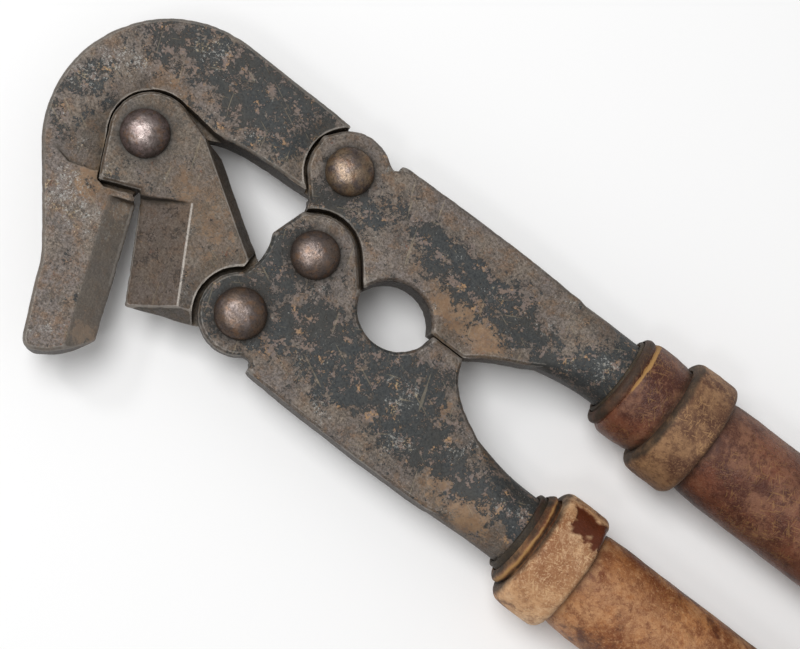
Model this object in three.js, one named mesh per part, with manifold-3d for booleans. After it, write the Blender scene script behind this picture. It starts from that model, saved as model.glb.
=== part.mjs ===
// Bolt cutters: two forged jaws and two forged levers joined by four domed rivets,
// with round steel shanks running into wooden grips that are sleeved and collared in leather.
// Millimetres, +Z up.  The tool lies flat, jaws towards +X, rivets along Z.
// Inside this file every position is measured from the lever pivot at mid thickness;
// the finished group is shifted at the end so that its origin is under its middle.

import * as THREE from "three";
import { ConvexGeometry } from "three/addons/geometries/ConvexGeometry.js";
import { mergeVertices } from "three/addons/utils/BufferGeometryUtils.js";
import Module from "manifold-3d";

const wasm = await Module();
wasm.setup();

// ---- driving dimensions -------------------------------------------------------------

const PLATE_HALF = 7; // half the thickness of the forged head
const LAP_GAP = 0.15; // each half-lapped face stands this far from the middle plane
const EDGE_CHAMFER = 0.9; // worn edge of a forged face
const KNUCKLE_R = 12.5; // round end at every pivot
const ARM_END_R = 11.5; // round end of the fixed jaw's arm
const LAP_CLEARANCE = 1.7; // room between a knuckle and the wall it turns beside
const ARM_CLEARANCE = 1.4; // the same at the arm's front face
const ARM_END_CLEARANCE = 0.8; // the same round the arm's end
const TAIL_CLEARANCE = 1.9; // the same at the tail, where the jaw also slides a little
const FIXED_NECK_R = 13.1; // fixed jaw's back half round the jaw rivet
const HEAD_POCKET_CENTRE = new THREE.Vector2(60.65, 0.45); // pocket round the moving jaw's head
const HEAD_POCKET_R = 13.3;
const FAR = 30; // cutters reach this far past the faces

const LEVER_PIVOT = new THREE.Vector2(0, 0); // lever to lever
const ARM_PIVOT = new THREE.Vector2(7, -26.5); // fixed jaw's arm to upper lever
const TAIL_PIVOT = new THREE.Vector2(7, 27.5); // moving jaw's tail to lower lever
const JAW_PIVOT = new THREE.Vector2(62, 2); // jaw to jaw

const RIVET_SHANK_R = 4.5;
const RIVET_HEAD_R = 7.6;
const TAIL_RIVET_HEAD_R = 8.1;
const RIVET_DOME = 4.4; // height of a rivet head
const HOLE_R = 4.8; // rivet hole
const TAIL_HOLE_R = 5.7; // looser, the linkage slides a little here
const CONTACT_GAP = 0.3; // between pieces that touch

const CROWN_CENTRE = new THREE.Vector2(54, -0.6); // the fixed jaw's round back
const CROWN_R = 38;
const FIXED_EDGE_TOP = new THREE.Vector2(51.9, 20.2); // fixed jaw's cutting edge
const FIXED_EDGE_TIP = new THREE.Vector2(36.5, 59.4);
const FIXED_BEVEL = 7.8; // width of the ground face behind the edge

const MOVING_EDGE_TOP = new THREE.Vector2(51.5, 17.6); // moving jaw's cutting edge
const MOVING_EDGE_TIP = new THREE.Vector2(35.7, 45.7);
const MOVING_BEVEL = 15.2;
const MOVING_FLANK_DRAFT = 3.3; // slope of the moving jaw's inner flank
const MOVING_HEAD_CENTRE = new THREE.Vector2(60.5, 0.6);
const MOVING_HEAD_R = 12.7;
const EDGE_HALF = 0.4; // a cutting edge is this blunt on each side of the middle

const HOLE_CENTRE_X = -30; // round hole shared by the levers
const HOLE_RADIUS = 13;
const HOLE_OFFSET = 2.6; // each half circle's centre lies this far over the middle line
const STOP_HALF_GAP = 0.25;
const STOP_OFFSET = 2.6; // the stop faces meet this far over the middle line, inside the upper lever
const STOP_END_X = -54; // grip end of the stop faces
// Curve of each lever's inner edge down to its stop face, measured from the middle line.
const UPPER_CROTCH = {
  start: new THREE.Vector2(-70, 12.4),
  bend: new THREE.Vector2(-60, 7.6),
  end: new THREE.Vector2(-56.3, 4.5),
};
const LOWER_CROTCH = {
  start: new THREE.Vector2(-70, 13.4),
  bend: new THREE.Vector2(-58.6, 8.4),
  end: new THREE.Vector2(-55.4, 1.6),
};
const UPPER_EDGE = 38.4; // outer edge of each lever beside its knuckle, from the middle line
const LOWER_EDGE = 39.9;

const HANDLE_Y = 28.25; // handle axis from the tool's centre line
const SHANK_R = 11.25;
const FLARE_START = -68; // the flat lever turns round between these
const FLARE_END = -93;
const SHANK_END = -130;
const TANG_R = 5;

const LINING_R = 13.4; // inner leather layer of a grip
const SLEEVE_R = 16; // outer leather layer
const COLLAR_R = 19.5;
const GRIP_END = -458;
const WASHER_R = 15;
const WASHER_THICKNESS = 2.6;
const NUT_R = 8;
const TANG_END = -467;
const BUTT_COLLAR_LENGTH = 14;

const UPPER_GRIP = { name: "upper", side: -1, sleeve: -96, lining: -95.2, collar: -113, length: 15.5 };
const LOWER_GRIP = { name: "lower", side: 1, sleeve: -100.2, lining: -98, collar: -104, length: 16 };

// ---- materials ----------------------------------------------------------------------

function finish(color, roughness, metalness) {
  return new THREE.MeshStandardMaterial({ color, roughness, metalness });
}

const forgedSteel = () => finish(0x5c534c, 0.62, 0.7);
const rivetSteel = () => finish(0x76655c, 0.42, 0.8);
const gripLeather = () => finish(0x7e472b, 0.55, 0);
const collarLeather = () => finish(0xa9805c, 0.85, 0);
const liningLeather = () => finish(0x4a3120, 0.8, 0);
const handleWood = () => finish(0x8d6a45, 0.75, 0);
const plainSteel = () => finish(0x6d6a66, 0.5, 0.8);

// ---- solids -------------------------------------------------------------------------

const degrees = THREE.MathUtils.degToRad;

function signedVolume(position, index) {
  const a = new THREE.Vector3();
  const b = new THREE.Vector3();
  const c = new THREE.Vector3();
  let sum = 0;
  for (let i = 0; i < index.length; i += 3) {
    a.fromBufferAttribute(position, index[i]);
    b.fromBufferAttribute(position, index[i + 1]);
    c.fromBufferAttribute(position, index[i + 2]);
    sum += a.dot(b.cross(c));
  }
  return sum / 6;
}

// Joins vertices closer than `tolerance` and drops the triangles that this flattens.
function weld(geometry, tolerance) {
  const merged = mergeVertices(geometry, tolerance);
  const all = merged.index.array;
  const kept = [];
  for (let i = 0; i < all.length; i += 3) {
    const [a, b, c] = [all[i], all[i + 1], all[i + 2]];
    if (a !== b && b !== c && c !== a) kept.push(a, b, c);
  }
  merged.setIndex(kept);
  return merged;
}

// A closed three.js geometry as a solid, with its faces turned outwards.
function solid(geometry) {
  geometry.deleteAttribute("normal");
  geometry.deleteAttribute("uv");
  const welded = weld(geometry, 1e-4);
  const position = welded.attributes.position;
  const index = Array.from(welded.index.array);
  if (signedVolume(position, index) < 0) index.reverse();
  return new wasm.Manifold(
    new wasm.Mesh({
      numProp: 3,
      vertProperties: new Float32Array(position.array),
      triVerts: new Uint32Array(index),
    }),
  );
}

function geometryOf(body) {
  const mesh = body.getMesh();
  const geometry = new THREE.BufferGeometry();
  geometry.setAttribute("position", new THREE.BufferAttribute(new Float32Array(mesh.vertProperties), 3));
  geometry.setIndex(new THREE.BufferAttribute(new Uint32Array(mesh.triVerts), 1));
  const welded = weld(geometry, 1e-3);
  welded.computeVertexNormals();
  return welded;
}

function part(name, body, material) {
  const mesh = new THREE.Mesh(geometryOf(body), material);
  mesh.name = name;
  return mesh;
}

// A flat forging of the given outline, chamfered all round on both faces.
function plate(shape, curveSegments = 9) {
  const geometry = new THREE.ExtrudeGeometry(shape, {
    depth: 2 * (PLATE_HALF - EDGE_CHAMFER),
    bevelEnabled: true,
    bevelThickness: EDGE_CHAMFER,
    bevelSize: EDGE_CHAMFER,
    bevelOffset: -EDGE_CHAMFER,
    bevelSegments: 1,
    curveSegments,
  });
  geometry.translate(0, 0, -(PLATE_HALF - EDGE_CHAMFER));
  return solid(geometry);
}

// An upright cutter of the given outline, from height `low` to height `high`.
function prism(shape, low, high) {
  const geometry = new THREE.ExtrudeGeometry(shape, { depth: high - low, bevelEnabled: false });
  geometry.translate(0, 0, low);
  return solid(geometry);
}

function polygon(points) {
  return new THREE.Shape(points.map(([x, y]) => new THREE.Vector2(x, y)));
}

function upright(centre, radius, low, high) {
  const geometry = new THREE.CylinderGeometry(radius, radius, high - low, 36);
  geometry.rotateX(Math.PI / 2);
  geometry.translate(centre.x, centre.y, (high + low) / 2);
  return solid(geometry);
}

// Above and below the lap: the front half is cut from just under the middle upwards.
const frontCut = (centre, radius) => upright(centre, radius, -LAP_GAP, FAR);
const backCut = (centre, radius) => upright(centre, radius, -FAR, LAP_GAP);
const rivetHole = (centre, radius) => upright(centre, radius, -FAR, FAR);

// A block that grinds a slope: its underside holds the line from just before `start` to
// past `end` near mid thickness, and climbs to the face `width` away, towards `inward`.
function slope(start, end, inward, width, face) {
  const along = new THREE.Vector3(end.x - start.x, end.y - start.y, 0);
  const length = along.length();
  along.normalize();
  const across = new THREE.Vector3(inward.x, inward.y, 0);
  across.addScaledVector(along, -across.dot(along)).normalize();
  const rise = (PLATE_HALF - EDGE_HALF) * face;
  const uphill = across.clone().multiplyScalar(width).add(new THREE.Vector3(0, 0, rise)).normalize();
  const out = new THREE.Vector3().crossVectors(along, uphill).normalize();
  if (out.z * face < 0) out.negate();
  const reach = length + FAR;
  const geometry = new THREE.BoxGeometry(reach, 2 * FAR, FAR);
  const frame = new THREE.Matrix4().makeBasis(along, uphill, out);
  const middle = new THREE.Vector3(start.x, start.y, EDGE_HALF * face);
  middle.addScaledVector(along, reach / 2 - CONTACT_GAP);
  middle.addScaledVector(out, FAR / 2);
  frame.setPosition(middle);
  geometry.applyMatrix4(frame);
  return solid(geometry);
}

// A solid turned about a handle: the profile gives [distance along X, radius].
function turned(profile, segments = 28) {
  const points = profile.map(([x, r]) => new THREE.Vector2(r, x));
  const geometry = new THREE.LatheGeometry(points, segments);
  geometry.rotateZ(-Math.PI / 2);
  return solid(geometry);
}

function tube(front, back, inner, outer, round) {
  return turned([
    [front, inner],
    [front, outer - round],
    [front - round, outer],
    [back + round, outer],
    [back, outer - round],
    [back, inner],
    [front, inner],
  ]);
}

// ---- jaws ---------------------------------------------------------------------------

function fixedJaw() {
  const outline = new THREE.Shape();
  outline.absarc(ARM_PIVOT.x, ARM_PIVOT.y, ARM_END_R, degrees(-90), degrees(-270), true);
  outline.lineTo(30, -13.2);
  outline.quadraticCurveTo(42, -12.4, 47.5, -8.6);
  outline.absarc(JAW_PIVOT.x, JAW_PIVOT.y, FIXED_NECK_R, degrees(192), degrees(130), true);
  outline.lineTo(54.4, 18.4);
  outline.lineTo(FIXED_EDGE_TOP.x, FIXED_EDGE_TOP.y);
  outline.lineTo(FIXED_EDGE_TIP.x, FIXED_EDGE_TIP.y);
  outline.quadraticCurveTo(41.5, 69.2, 48.6, 72.7);
  outline.quadraticCurveTo(51.8, 73.9, 53.3, 71.1);
  outline.lineTo(60.6, 55.8);
  outline.quadraticCurveTo(62.4, 50.5, 65.6, 46.2);
  outline.absarc(CROWN_CENTRE.x, CROWN_CENTRE.y, CROWN_R, degrees(40.5), degrees(-90), true);

  // Pocket in the front face that the moving jaw's head turns in.
  const pocket = polygon([
    [73.6, 3], [72.35, 6.5], [64.95, 21.6], [61.8, 22.2], [38.7, 11.1],
    [34, 0], [38, -9], [42, -11.2], [46, -11.1], [52.4, -12], [57, -12.5],
  ]);
  const towardsBack = new THREE.Vector2(1, 0.4);
  let body = plate(outline, 12);
  for (const face of [1, -1]) {
    body = body.subtract(slope(FIXED_EDGE_TOP, FIXED_EDGE_TIP, towardsBack, FIXED_BEVEL, face));
  }
  body = body.subtract(prism(pocket, -LAP_GAP, FAR));
  body = body.subtract(frontCut(HEAD_POCKET_CENTRE, HEAD_POCKET_R));
  body = body.subtract(crownFall());
  body = body.subtract(frontCut(ARM_PIVOT, KNUCKLE_R + ARM_CLEARANCE));
  body = body.subtract(rivetHole(JAW_PIVOT, HOLE_R));
  return body.subtract(rivetHole(ARM_PIVOT, HOLE_R));
}

// The crown's front face falls away towards the pocket: nothing is lost along the outer
// line, about 3.5 mm at the step beside the corner of the moving jaw's head.
function crownFall() {
  const floor = [
    [66.8, 19.9, 3.4], [74.4, 22.5, 5.2], [82.5, 21, 7.1], [72.5, -12, 7.1], [58, -6, 4.6], [60, 14, 2.6],
  ];
  const corners = floor.flatMap(([x, y, z]) => [new THREE.Vector3(x, y, z), new THREE.Vector3(x, y, FAR)]);
  return solid(new ConvexGeometry(corners));
}

function movingJaw() {
  const outline = new THREE.Shape();
  outline.moveTo(52.9, 16);
  outline.lineTo(64.6, 21.1);
  outline.absarc(MOVING_HEAD_CENTRE.x, MOVING_HEAD_CENTRE.y, MOVING_HEAD_R, degrees(26), degrees(-108), true);
  outline.lineTo(50.2, -9.6);
  outline.lineTo(44.4, -7.6);
  outline.lineTo(40.3, -7.3);
  outline.lineTo(12.7, 10.8);
  outline.absarc(TAIL_PIVOT.x, TAIL_PIVOT.y, KNUCKLE_R, degrees(-80), degrees(-285), true);
  outline.quadraticCurveTo(14, 38.4, 24.2, 41);
  outline.lineTo(MOVING_EDGE_TIP.x, MOVING_EDGE_TIP.y);
  outline.lineTo(MOVING_EDGE_TOP.x, MOVING_EDGE_TOP.y);

  const flankStart = new THREE.Vector2(52, -15);
  const flankEnd = new THREE.Vector2(12.7, 10.8);
  const towardsBlade = new THREE.Vector2(0.5, 1);
  const towardsBody = new THREE.Vector2(-1, -0.4);
  const tipHeel = new THREE.Vector2(18, 38.9);
  const towardsPivot = new THREE.Vector2(0.2, -1);

  let body = plate(outline);
  for (const face of [1, -1]) {
    body = body.subtract(slope(MOVING_EDGE_TOP, MOVING_EDGE_TIP, towardsBody, MOVING_BEVEL, face));
    body = body.subtract(slope(flankStart, flankEnd, towardsBlade, MOVING_FLANK_DRAFT, face));
    body = body.subtract(slope(MOVING_EDGE_TIP, tipHeel, towardsPivot, MOVING_FLANK_DRAFT, face));
  }
  // The head is a half-thickness plate in front; the fixed jaw lies behind it.
  body = body.subtract(backCut(JAW_PIVOT, FIXED_NECK_R + LAP_CLEARANCE));
  const behindCorner = polygon([[53, 5], [80, 5], [80, 30], [53, 30]]);
  const behindShoulder = polygon([[39.4, -16], [80, -16], [80, 2], [48, 0], [39.4, -5.4]]);
  body = body.subtract(prism(behindCorner, -FAR, LAP_GAP));
  body = body.subtract(prism(behindShoulder, -FAR, LAP_GAP));
  // The tail is a half-thickness plate behind; the lower lever lies in front of it.
  body = body.subtract(frontCut(TAIL_PIVOT, KNUCKLE_R + TAIL_CLEARANCE));
  const beforeTail = polygon([[-10, 0], [14.8, 0], [14.8, 42], [-10, 42]]);
  body = body.subtract(prism(beforeTail, -LAP_GAP, FAR));
  body = body.subtract(rivetHole(JAW_PIVOT, HOLE_R));
  return body.subtract(rivetHole(TAIL_PIVOT, TAIL_HOLE_R));
}

// ---- levers -------------------------------------------------------------------------

// The stretch both levers share: from the notch beside the knuckle, along the outer
// edge, round the shank's root, back along the inner edge, over the stop face and
// round the half hole.
function leverFlank(side, edge) {
  const stop = STOP_HALF_GAP - side * STOP_OFFSET;
  const crotch = side < 0 ? UPPER_CROTCH : LOWER_CROTCH;
  const path = new THREE.Path();
  path.moveTo(-3.4, edge - 3.3);
  path.lineTo(-5, edge - 1.9);
  path.lineTo(-4.6, edge - 0.5);
  path.lineTo(-6, edge);
  path.quadraticCurveTo(-45, edge + 1.5, -72, edge + 0.3);
  path.lineTo(-80, edge - 1.5);
  path.lineTo(-87, edge - 3.5);
  path.lineTo(-87, 20);
  path.lineTo(-80, 18.2);
  path.lineTo(crotch.start.x, crotch.start.y);
  path.quadraticCurveTo(crotch.bend.x, crotch.bend.y, crotch.end.x, crotch.end.y);
  path.lineTo(STOP_END_X, stop);
  const stopReach = Math.asin((stop + HOLE_OFFSET) / HOLE_RADIUS);
  const neckReach = Math.asin((STOP_HALF_GAP + HOLE_OFFSET) / HOLE_RADIUS);
  path.absarc(HOLE_CENTRE_X, -HOLE_OFFSET, HOLE_RADIUS, Math.PI - stopReach, neckReach, true);
  return path.getPoints(6).map((point) => new THREE.Vector2(point.x, side * point.y));
}

// A circle's coordinate pushed out towards a rounded square; power 2 leaves the circle.
function squared(value, power) {
  return Math.abs(value) < 1e-9 ? 0 : Math.sign(value) * Math.abs(value) ** (2 / power);
}

// Round steel shank growing out of the flat lever, then the thin tang inside the grip.
function shank(side, edge) {
  const rows = 8; // seven along the flare, the last along the round shank
  const rod = new THREE.CylinderGeometry(1, 1, 1, 28, rows);
  const position = rod.attributes.position;
  for (let i = 0; i < position.count; i += 1) {
    const row = Math.round((0.5 - position.getY(i)) * rows);
    const t = Math.min(row / (rows - 1), 1);
    const ease = t * t * (3 - 2 * t);
    const x = row === rows ? SHANK_END : THREE.MathUtils.lerp(FLARE_START, FLARE_END, t);
    const inner = THREE.MathUtils.lerp(-15.2, -SHANK_R, Math.sin((t * Math.PI) / 2));
    const outer = THREE.MathUtils.lerp(edge + STOP_HALF_GAP - HANDLE_Y, SHANK_R, ease);
    const halfHeight = THREE.MathUtils.lerp(PLATE_HALF - 0.1, SHANK_R, ease);
    const power = THREE.MathUtils.lerp(6, 2, Math.sqrt(ease));
    const across = squared(position.getX(i), power);
    const up = squared(position.getZ(i), power);
    const y = (inner + outer) / 2 + (across * (outer - inner)) / 2;
    position.setXYZ(i, x, side * (HANDLE_Y + y), up * halfHeight);
  }
  const tang = turned([
    [SHANK_END + TANG_R, 0],
    [SHANK_END + TANG_R, TANG_R],
    [TANG_END + 1, TANG_R],
    [TANG_END, TANG_R - 1],
    [TANG_END, 0],
  ]).translate([0, side * HANDLE_Y, 0]);
  return solid(rod).add(tang);
}

function upperLever() {
  const outline = new THREE.Shape(leverFlank(-1, UPPER_EDGE));
  outline.absarc(LEVER_PIVOT.x, LEVER_PIVOT.y, KNUCKLE_R, degrees(181), degrees(-38), true);
  outline.lineTo(11.2, -12.4);
  outline.absarc(ARM_PIVOT.x, ARM_PIVOT.y, KNUCKLE_R + 0.1, degrees(36), degrees(-4), true);
  outline.lineTo(19.9, -30.6);
  outline.absarc(ARM_PIVOT.x, ARM_PIVOT.y, KNUCKLE_R + 0.1, degrees(-40), degrees(-130), true);

  let body = plate(outline).add(shank(-1, UPPER_EDGE));
  body = body.subtract(frontCut(LEVER_PIVOT, KNUCKLE_R + LAP_CLEARANCE + 0.2));
  // Room in front of the lap for the lower lever's neck.
  const neck = polygon([[-17.9, -1.1], [-16.6, -2.4], [-11.6, -8.8], [1, -2], [13, 1], [14, 16], [-17.9, 16]]);
  body = body.subtract(prism(neck, -LAP_GAP, FAR));
  body = body.subtract(backCut(ARM_PIVOT, ARM_END_R + ARM_END_CLEARANCE));
  const behindKnuckle = polygon([[3, -42], [24, -42], [24, -13.4], [8, -13.4], [8, -34], [3, -36.5]]);
  body = body.subtract(prism(behindKnuckle, -FAR, LAP_GAP));
  body = body.subtract(rivetHole(LEVER_PIVOT, HOLE_R));
  return body.subtract(rivetHole(ARM_PIVOT, HOLE_R));
}

function lowerLever() {
  const outline = new THREE.Shape(leverFlank(1, LOWER_EDGE));
  outline.lineTo(-16.2, -0.4);
  outline.absarc(LEVER_PIVOT.x, LEVER_PIVOT.y, KNUCKLE_R + 0.2, degrees(217), degrees(306), false);
  outline.lineTo(10.7, -8.4);
  outline.lineTo(13.9, 2.2);
  outline.quadraticCurveTo(11.9, 5.6, 12, 11.2);
  outline.absarc(TAIL_PIVOT.x, TAIL_PIVOT.y, KNUCKLE_R, degrees(-58), degrees(131), false);

  let body = plate(outline).add(shank(1, LOWER_EDGE));
  body = body.subtract(backCut(LEVER_PIVOT, KNUCKLE_R + LAP_CLEARANCE));
  body = body.subtract(backCut(TAIL_PIVOT, KNUCKLE_R + TAIL_CLEARANCE));
  // Room behind the lap for the upper lever and the moving jaw's tail.
  const behindNeck = polygon([[-17.6, 0.6], [2, 0.6], [2, 42], [22, 42], [22, -14], [-17.6, -14]]);
  body = body.subtract(prism(behindNeck, -FAR, LAP_GAP));
  body = body.subtract(rivetHole(LEVER_PIVOT, HOLE_R));
  return body.subtract(rivetHole(TAIL_PIVOT, HOLE_R));
}

// ---- rivets and grips ---------------------------------------------------------------

// A rivet with a domed head on each face, turned about Z.
function rivet(headRadius) {
  const seat = PLATE_HALF + CONTACT_GAP;
  const sphere = (headRadius ** 2 + RIVET_DOME ** 2) / (2 * RIVET_DOME);
  const half = Math.asin(headRadius / sphere);
  const dome = [];
  const steps = 4;
  for (let i = 0; i <= steps; i += 1) {
    const angle = half * (1 - i / steps);
    dome.push(new THREE.Vector2(sphere * Math.sin(angle), seat + RIVET_DOME - sphere * (1 - Math.cos(angle))));
  }
  const lower = dome.map((point) => new THREE.Vector2(point.x, -point.y)).reverse();
  const profile = [...lower, new THREE.Vector2(RIVET_SHANK_R, -seat), new THREE.Vector2(RIVET_SHANK_R, seat)];
  const geometry = new THREE.LatheGeometry([...profile, ...dome], 24);
  geometry.rotateX(Math.PI / 2);
  return solid(geometry);
}

function placedRivet(name, pivot, headRadius) {
  const mesh = part(name, rivet(headRadius), rivetSteel());
  mesh.position.set(pivot.x, pivot.y, 0);
  return mesh;
}

function grip({ name, side, sleeve, lining, collar, length }) {
  const group = new THREE.Group();
  group.position.y = side * HANDLE_Y;
  const bore = TANG_R + CONTACT_GAP;
  const core = tube(SHANK_END - CONTACT_GAP, GRIP_END, bore, SHANK_R, 0.8);
  const inner = tube(lining, GRIP_END, SHANK_R + CONTACT_GAP, LINING_R, 0.7);
  const outer = tube(sleeve, GRIP_END, LINING_R + CONTACT_GAP, SLEEVE_R, 0.8);
  const guard = tube(collar, collar - length, SLEEVE_R + CONTACT_GAP, COLLAR_R, 0.9);
  const butt = tube(GRIP_END + BUTT_COLLAR_LENGTH, GRIP_END, SLEEVE_R + CONTACT_GAP, COLLAR_R, 0.9);
  const washerFront = GRIP_END - CONTACT_GAP;
  const washerBack = washerFront - WASHER_THICKNESS;
  const washer = tube(washerFront, washerBack, bore, WASHER_R, 0.5);
  const nut = turned([
    [washerBack - CONTACT_GAP, bore],
    [washerBack - CONTACT_GAP, NUT_R],
    [washerBack - 3, NUT_R],
    [washerBack - 4.6, NUT_R - 1.8],
    [washerBack - 4.6, bore],
    [washerBack - CONTACT_GAP, bore],
  ], 24);
  group.add(
    part(`${name}_grip_core`, core, handleWood()),
    part(`${name}_grip_lining`, inner, liningLeather()),
    part(`${name}_grip_sleeve`, outer, gripLeather()),
    part(`${name}_guard_collar`, guard, collarLeather()),
    part(`${name}_butt_collar`, butt, collarLeather()),
    part(`${name}_butt_washer`, washer, plainSteel()),
    part(`${name}_tang_nut`, nut, plainSteel()),
  );
  return group;
}

// ---- assembly -----------------------------------------------------------------------

const tool = new THREE.Group();
tool.add(
  part("fixed_jaw", fixedJaw(), forgedSteel()),
  part("moving_jaw", movingJaw(), forgedSteel()),
  part("upper_lever", upperLever(), forgedSteel()),
  part("lower_lever", lowerLever(), forgedSteel()),
  placedRivet("jaw_rivet", JAW_PIVOT, RIVET_HEAD_R),
  placedRivet("arm_rivet", ARM_PIVOT, RIVET_HEAD_R),
  placedRivet("lever_rivet", LEVER_PIVOT, RIVET_HEAD_R),
  placedRivet("tail_rivet", TAIL_PIVOT, TAIL_RIVET_HEAD_R),
  grip(UPPER_GRIP),
  grip(LOWER_GRIP),
);

// Stand the tool on the table, with the origin under the middle of its outer box.
const bounds = new THREE.Box3().setFromObject(tool);
const centre = bounds.getCenter(new THREE.Vector3());
tool.position.set(-centre.x, -centre.y, -bounds.min.z);

export default tool;
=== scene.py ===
"""Looks of the bolt cutters: old forged steel head and leather-covered handles, in Blender.

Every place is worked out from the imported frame.  Distances written in millimetres are
measured from the lever rivet at mid thickness: +X towards the jaws, +Y towards the
blade tips, +Z up.
"""

import math

import bmesh
import bpy
import numpy as np
from mathutils import Matrix, Vector, noise
from mathutils.bvhtree import BVHTree


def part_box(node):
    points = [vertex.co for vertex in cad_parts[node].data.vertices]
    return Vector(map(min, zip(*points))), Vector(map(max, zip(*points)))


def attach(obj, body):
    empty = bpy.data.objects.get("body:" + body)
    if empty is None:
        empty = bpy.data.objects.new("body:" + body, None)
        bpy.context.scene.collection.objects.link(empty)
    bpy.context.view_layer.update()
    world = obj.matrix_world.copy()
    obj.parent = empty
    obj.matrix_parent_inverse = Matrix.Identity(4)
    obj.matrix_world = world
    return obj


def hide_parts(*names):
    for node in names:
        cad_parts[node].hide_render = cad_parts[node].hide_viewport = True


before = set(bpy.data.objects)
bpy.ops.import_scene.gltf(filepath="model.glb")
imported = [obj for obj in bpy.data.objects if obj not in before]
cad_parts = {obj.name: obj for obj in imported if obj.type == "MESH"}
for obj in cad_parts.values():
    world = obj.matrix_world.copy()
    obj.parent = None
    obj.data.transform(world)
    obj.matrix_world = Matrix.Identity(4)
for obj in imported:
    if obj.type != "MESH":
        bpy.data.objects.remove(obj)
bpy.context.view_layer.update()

MM = 0.001
VOXEL = 0.42 * MM  # size of the cells that the forgings are remeshed with
SURFACE_ROUNDS = 2  # smoothing rounds over the remeshed surface
WEAR_ROUNDS = 16  # rounds that find edges and hollows
SHANK_CUT_X = -124  # the levers' fine surface ends here, inside the grips
GRIP_AROUND = 144  # segments round a grip
ROD_AROUND = 48  # segments round a tang
RIVET_AROUND = 96  # segments round a rivet
RIVET_STEPS = 18  # rows from a rivet head's rim to its crown
RIVET_DOME = 4.4 * MM  # height of a rivet's head
RIVET_RIM = 0.15 * MM  # height of the narrow slope under the dome
RIVET_RISE = 0.92  # powers of sine and cosine that shape the dome
RIVET_ROUND = 0.86
RIVET_SHANK_R = 4.4 * MM
LINING_DEPTH = 1.8 * MM  # how thick the lining is modelled
COLLAR_DEPTH = 0.8 * MM  # how far a collar reaches down into the sleeve
SLEEVE_GAP = 0.25 * MM  # room between the lining and the sleeve
TANG_START_X = -122  # the tang rod begins here, inside the shank
TANG_R = 5.0 * MM
TANG_BORE_R = 5.3 * MM  # hole in the washer and in the nut
TANG_EYE_R = 0.4 * MM  # the rod's outline closes this near to its axis
STITCH_PITCH = 5.2 * MM
STITCH_R = 0.55 * MM
STITCH_LIFT = 0.15 * MM  # how far above the sleeve a stitch's thread starts
FLOOR_REACH = 3.0  # half the floor's width, in metres
WORLD_LIGHT = 0.42
VIEW_TARGET = (-33.0, -0.1)  # the point of the tool that the camera looks at
VIEW_FROM = (-7.3, 91.9, 565.0)
VIEW_UP = math.radians(-53.19)  # heading, on the table, of what is up in the picture
VIEW_LENS = 85.1
VIEW_SENSOR = 36


# ---- places ----------------------------------------------------------------------------


def centre(node):
    low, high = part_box(node)
    return (low + high) / 2


PIVOT = centre("lever_rivet")
FORGED = ("fixed_jaw", "moving_jaw", "upper_lever", "lower_lever")  # each rides the body of its name
RIVETS = ("jaw_rivet", "arm_rivet", "lever_rivet", "tail_rivet")


def place(x, y, z=0.0):
    """A point given in millimetres from the lever rivet, in the row frame."""
    return PIVOT + Vector((x, y, z)) * MM


def span(node):
    """Front and back along X, and outer radius, of a round CAD node."""
    low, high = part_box(node)
    return high.x, low.x, (high.z - low.z) / 2


# ---- procedural materials --------------------------------------------------------------


def srgb(red, green, blue):
    """A screen colour, 0 to 255, as linear light."""
    parts = [value / 255 for value in (red, green, blue)]
    return tuple(v / 12.92 if v <= 0.04045 else ((v + 0.055) / 1.055) ** 2.4 for v in parts)


# Leather dyes: deep, middle, dusty (also the painted sheen) and rubbed rim.
LINING_DYES = (srgb(32, 27, 18), srgb(56, 46, 31), srgb(80, 66, 45), srgb(110, 86, 54))
SLEEVE_DYES = {
    "upper": (srgb(66, 31, 20), srgb(108, 62, 42), srgb(128, 88, 66), srgb(168, 128, 76)),
    "lower": (srgb(108, 56, 26), srgb(166, 110, 64), srgb(188, 142, 100), srgb(168, 128, 76)),
}
COLLAR_DYES = {
    "upper": (srgb(80, 50, 34), srgb(120, 86, 60), srgb(152, 116, 82), srgb(178, 138, 94)),
    "lower": (srgb(140, 94, 60), srgb(192, 148, 106), srgb(216, 180, 142), srgb(220, 184, 140)),
}


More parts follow.
